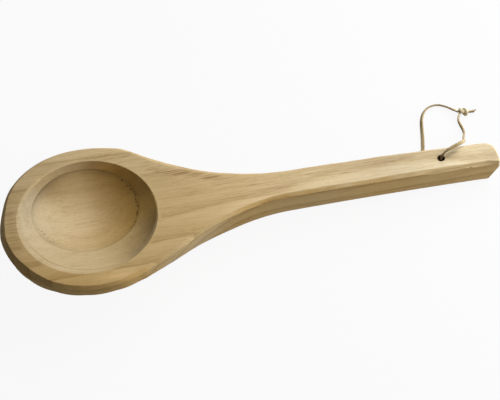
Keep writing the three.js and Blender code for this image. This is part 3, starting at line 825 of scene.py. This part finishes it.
board_mm = add(wood_tree, "ShaderNodeMapping", {}, {
    "Vector": add(wood_tree, "ShaderNodeTexCoord", {}, {}).outputs["Object"], "Scale": [1 / mm] * 3,
    "Rotation": (0, -rest_pitch, 0), "Location": in_board.translation / mm}).outputs["Vector"]
tinted, torn_here, streaky_here, turned_here = (
    add(wood_tree, "ShaderNodeAttribute", {"attribute_name": layer}, {}).outputs
    for layer in ("tint", "torn", "streaky", "hollow"))

# Each figure is drawn out along the board: its length along the grain and its width, in millimetres,
# and where its pattern starts. Real fibres are finer than a tenth of a millimetre, so they are drawn
# in coarser bundles that show.
figure = {}
for name, along_grain, across_grain, detail, roughness, start in (
    ("sway", 120, 26, 2, 0.5, (0, 0, 0)),
    ("bands", 100, 7, 3, 0.5, (3.7, 3.7, 3.7)),
    ("fibres", 26, 1.3, 4, 0.62, (7.4, 7.4, 7.4)),
    ("fine_fibres", 6, 0.55, 3, 0.6, (11.1, 11.1, 11.1)),
    ("streaks", 24, 1.0, 3, 0.55, (15.1, 12.4, 14.8)),
    ("flecks", 2.2, 1.5, 2, 0.5, (18.5, 18.5, 18.5)),
):
    drawn_out = add(wood_tree, "ShaderNodeMapping", {}, {
        "Vector": board_mm, "Scale": (1 / along_grain, 1 / across_grain, 1 / across_grain), "Location": start})
    figure[name] = add(wood_tree, "ShaderNodeTexNoise", {}, {
        "Vector": drawn_out.outputs["Vector"], "Scale": 1.0, "Detail": detail, "Roughness": roughness}).outputs

# Growth rings: shells round a pith that ran below the board, a little bent by slow growth. The Wave
# node's rings are 2 pi / 20 apart at scale 1, so its scale follows from the ring width.
pith_y = 10.0
pith_z = -70.5
pith_tilt = 0.022
pith_level_x = 70
ring_width = 10.5
ring_radius = 74.3
ring_bend = (0, 7, 4)
bent = add(wood_tree, "ShaderNodeVectorMath", {"operation": "MULTIPLY_ADD"}, {
    0: figure["sway"]["Color"], 1: ring_bend, 2: board_mm})
round_pith = add(wood_tree, "ShaderNodeMapping", {}, {
    "Vector": bent.outputs["Vector"], "Rotation": (0, -pith_tilt, 0),
    "Location": (0, -pith_y - ring_bend[1] / 2, -pith_z - ring_bend[2] / 2 - pith_level_x * pith_tilt)})
rings = add(wood_tree, "ShaderNodeTexWave", {
    "wave_type": "RINGS", "rings_direction": "X", "wave_profile": "SAW"}, {
    "Vector": round_pith.outputs["Vector"], "Scale": math.pi / 10 / ring_width,
    "Phase Offset": -2 * math.pi * ring_radius / ring_width})
late_wood = add(wood_tree, "ShaderNodeValToRGB", {}, {"Fac": rings.outputs["Fac"]})
for element in late_wood.color_ramp.elements:
    element.color = (0.12, 0.12, 0.12, 1)
for at, strength in ((0.1, 0.0), (0.45, 0.12), (0.8, 0.5), (0.94, 1.0)):
    late_wood.color_ramp.elements.new(at).color = [strength] * 3 + [1]
ring_strength = add(wood_tree, "ShaderNodeMapRange", {}, {
    "Value": turned_here["Fac"], "To Min": 0.36, "To Max": 0.1})

# How brown each spot is, from 0 in the palest early wood to 1 in the brownest streak.
streak_start = add(wood_tree, "ShaderNodeMath", {"operation": "MULTIPLY_ADD"}, {
    0: streaky_here["Fac"], 1: 0.16, 2: figure["streaks"]["Fac"]})
streaks = add(wood_tree, "ShaderNodeMapRange", {"interpolation_type": "SMOOTHSTEP"}, {
    "Value": streak_start.outputs[0], "From Min": 0.6, "From Max": 0.76})
brown = add(wood_tree, "ShaderNodeMath", {"operation": "MULTIPLY"}, {
    0: late_wood.outputs["Color"], 1: ring_strength.outputs["Result"]})
for part, strength, middle in (
    (figure["fine_fibres"]["Fac"], 0.44, 0.5),
    (figure["fibres"]["Fac"], 0.66, 0.5),
    (figure["bands"]["Fac"], 0.46, 0.5),
    (streaks.outputs["Result"], 0.4, 0.0),
):
    lifted = add(wood_tree, "ShaderNodeMath", {"operation": "SUBTRACT"}, {0: part, 1: middle})
    brown = add(wood_tree, "ShaderNodeMath", {"operation": "MULTIPLY_ADD"}, {
        0: lifted.outputs[0], 1: strength, 2: brown.outputs[0]})
levelled = add(wood_tree, "ShaderNodeMath", {"operation": "ADD"}, {0: brown.outputs[0], 1: 0.24})
timber = add(wood_tree, "ShaderNodeValToRGB", {}, {"Fac": levelled.outputs[0]})
timber.color_ramp.elements[0].color = linear("#dacaaa")
timber.color_ramp.elements[1].color = linear("#8c6d44")
timber.color_ramp.elements.new(0.4).color = linear("#c7b48e")

# Pores: fine tubes cut open along the faces, each with its own size. Real ones are under a tenth of
# a millimetre wide, so they too are drawn coarser.
pore_length = 4.0
pore_spacing = 0.9
pore_mm = add(wood_tree, "ShaderNodeMapping", {}, {
    "Vector": board_mm, "Scale": (1 / pore_length, 1 / pore_spacing, 1 / pore_spacing)})
pore_cells = add(wood_tree, "ShaderNodeTexVoronoi", {}, {"Vector": pore_mm.outputs["Vector"], "Scale": 1.0})
pore_own = add(wood_tree, "ShaderNodeSeparateColor", {}, {"Color": pore_cells.outputs["Color"]})
pore_edge = add(wood_tree, "ShaderNodeMath", {"operation": "MULTIPLY_ADD"}, {
    0: pore_own.outputs["Red"], 1: -0.26, 2: pore_cells.outputs["Distance"]})
pores = add(wood_tree, "ShaderNodeMapRange", {"interpolation_type": "SMOOTHSTEP"}, {
    "Value": pore_edge.outputs[0], "From Min": -0.12, "From Max": 0.02, "To Min": 0.42, "To Max": 0.0})
torn_start = add(wood_tree, "ShaderNodeMath", {"operation": "MULTIPLY_ADD"}, {
    0: torn_here["Fac"], 1: 0.3, 2: figure["flecks"]["Fac"]})
flecks = add(wood_tree, "ShaderNodeMapRange", {"interpolation_type": "SMOOTHSTEP"}, {
    "Value": torn_start.outputs[0], "From Min": 0.74, "From Max": 0.86, "To Max": 0.75})
wood_colour = timber.outputs["Color"]
for blend, amount, over in (
    ("MIX", pores.outputs["Result"], linear("#7d5f38")),
    ("MIX", flecks.outputs["Result"], linear("#54391f")),
    ("MULTIPLY", 1.0, tinted["Color"]),
):
    wood_colour = add(wood_tree, "ShaderNodeMix", {"data_type": "RGBA", "blend_type": blend}, {
        "Factor": amount, "A": wood_colour, "B": over}).outputs["Result"]
wood_tree.links.new(wood_colour, wood_shader.inputs["Base Color"])

# The turning tool left faint rings in the hollow, and sanding left the fibres raised.
tool_ring_width = 1.7
raised_height = 0.12 * mm
on_axis = add(wood_tree, "ShaderNodeMapping", {}, {"Vector": board_mm, "Location": (0, -dish_y, 0)})
tool_rings = add(wood_tree, "ShaderNodeTexWave", {"wave_type": "RINGS", "rings_direction": "Z"}, {
    "Vector": on_axis.outputs["Vector"], "Scale": math.pi / 10 / tool_ring_width,
    "Distortion": 0.6, "Detail": 2.0, "Detail Scale": 0.2})
turned_rings = add(wood_tree, "ShaderNodeMath", {"operation": "MULTIPLY"}, {
    0: tool_rings.outputs["Fac"], 1: turned_here["Fac"]})
relief = 0.0
for part, strength in (
    (turned_rings.outputs[0], 0.2),
    (figure["fibres"]["Fac"], 0.5),
    (figure["fine_fibres"]["Fac"], 0.35),
    (pores.outputs["Result"], -1.0),
    (flecks.outputs["Result"], -0.8),
):
    relief = add(wood_tree, "ShaderNodeMath", {"operation": "MULTIPLY_ADD"}, {
        0: part, 1: strength, 2: relief}).outputs[0]
wood_bump = add(wood_tree, "ShaderNodeBump", {}, {"Height": relief, "Strength": 0.5, "Distance": raised_height})
wood_tree.links.new(wood_bump.outputs["Normal"], wood_shader.inputs["Normal"])
dull = add(wood_tree, "ShaderNodeMapRange", {}, {
    "Value": figure["fibres"]["Fac"], "From Min": 0.3, "From Max": 0.7, "To Min": 0.6, "To Max": 0.74})
wood_tree.links.new(dull.outputs["Result"], wood_shader.inputs["Roughness"])
wood_shader.inputs["IOR"].default_value = 1.45
wood_shader.inputs["Specular IOR Level"].default_value = 0.3
body.data.materials.clear()
body.data.materials.append(wood)
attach(body, "ladle")
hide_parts("ladle_body")

# The floor and the light: a pale table top, broad soft lamps to the right and a little light from the
# room all round, as in a small studio. The table shows nearly white and keeps the ladle's shadow.
floor_reach = 4.0
floor_whiteness = 0.92
floor_mesh = bpy.data.meshes.new("table_top")
floor_corners = [(-1, -1), (1, -1), (1, 1), (-1, 1)]
floor_mesh.from_pydata([(floor_reach * i, floor_reach * j, 0) for i, j in floor_corners], [], [(0, 1, 2, 3)])
floor = bpy.data.objects.new("table_top", floor_mesh)
scene.collection.objects.link(floor)
paper = bpy.data.materials.new("pale_paper_table")
paper.use_nodes = True
paper_tree = paper.node_tree
paper_out = paper_tree.nodes["Material Output"]
paper_tree.nodes.remove(paper_tree.nodes["Principled BSDF"])
matt = add(paper_tree, "ShaderNodeBsdfDiffuse", {}, {"Color": linear("#c4c4c4")})
white = add(paper_tree, "ShaderNodeEmission", {}, {"Color": linear("#ffffff")})
seen = add(paper_tree, "ShaderNodeMixShader", {}, {
    0: floor_whiteness, 1: matt.outputs["BSDF"], 2: white.outputs["Emission"]})
world = bpy.data.worlds.new("studio")
world.use_nodes = True
world_tree = world.node_tree

# What the camera sees straight, in gloss or through something is 1, and light that falls on things is 0.
looked_at = {}
for tree in (paper_tree, world_tree):
    ray = add(tree, "ShaderNodeLightPath", {}, {})
    straight = add(tree, "ShaderNodeMath", {"operation": "MAXIMUM"}, {
        0: ray.outputs["Is Camera Ray"], 1: ray.outputs["Is Glossy Ray"]})
    looked_at[tree] = add(tree, "ShaderNodeMath", {"operation": "MAXIMUM"}, {
        0: straight.outputs[0], 1: ray.outputs["Is Transmission Ray"]}).outputs[0]
shown = add(paper_tree, "ShaderNodeMixShader", {}, {
    0: looked_at[paper_tree], 1: matt.outputs["BSDF"], 2: seen.outputs["Shader"]})
paper_tree.links.new(shown.outputs["Shader"], paper_out.inputs["Surface"])
floor_mesh.materials.append(paper)

room_light = 0.09
sky = world_tree.nodes["Background"]
sky.inputs["Color"].default_value = linear("#ffffff")
sky_strength = add(world_tree, "ShaderNodeMapRange", {}, {"Value": looked_at[world_tree], "To Min": room_light})
world_tree.links.new(sky_strength.outputs["Result"], sky.inputs["Strength"])
scene.world = world

lit_spot = Vector((0.03, 0, 0.03))
lamp_distance = 0.8
lamp_size = 0.6
lamp_height = math.radians(30)
for name, degrees_round, power in (
    ("window_right_back", 45, 5.4),
    ("window_right", 0, 6.0),
    ("fill_right_front", 315, 1.3),
):
    lamp_turn = math.radians(degrees_round)
    lamp_data = bpy.data.lights.new(name, "AREA")
    lamp_data.size = lamp_size
    lamp_data.energy = power
    lamp = bpy.data.objects.new(name, lamp_data)
    lamp.location = lit_spot + lamp_distance * Vector((
        math.cos(lamp_turn) * math.cos(lamp_height),
        math.sin(lamp_turn) * math.cos(lamp_height),
        math.sin(lamp_height),
    ))
    lamp.rotation_euler = (lit_spot - lamp.location).to_track_quat("-Z", "Y").to_euler()
    scene.collection.objects.link(lamp)
scene.view_settings.view_transform = "Standard"
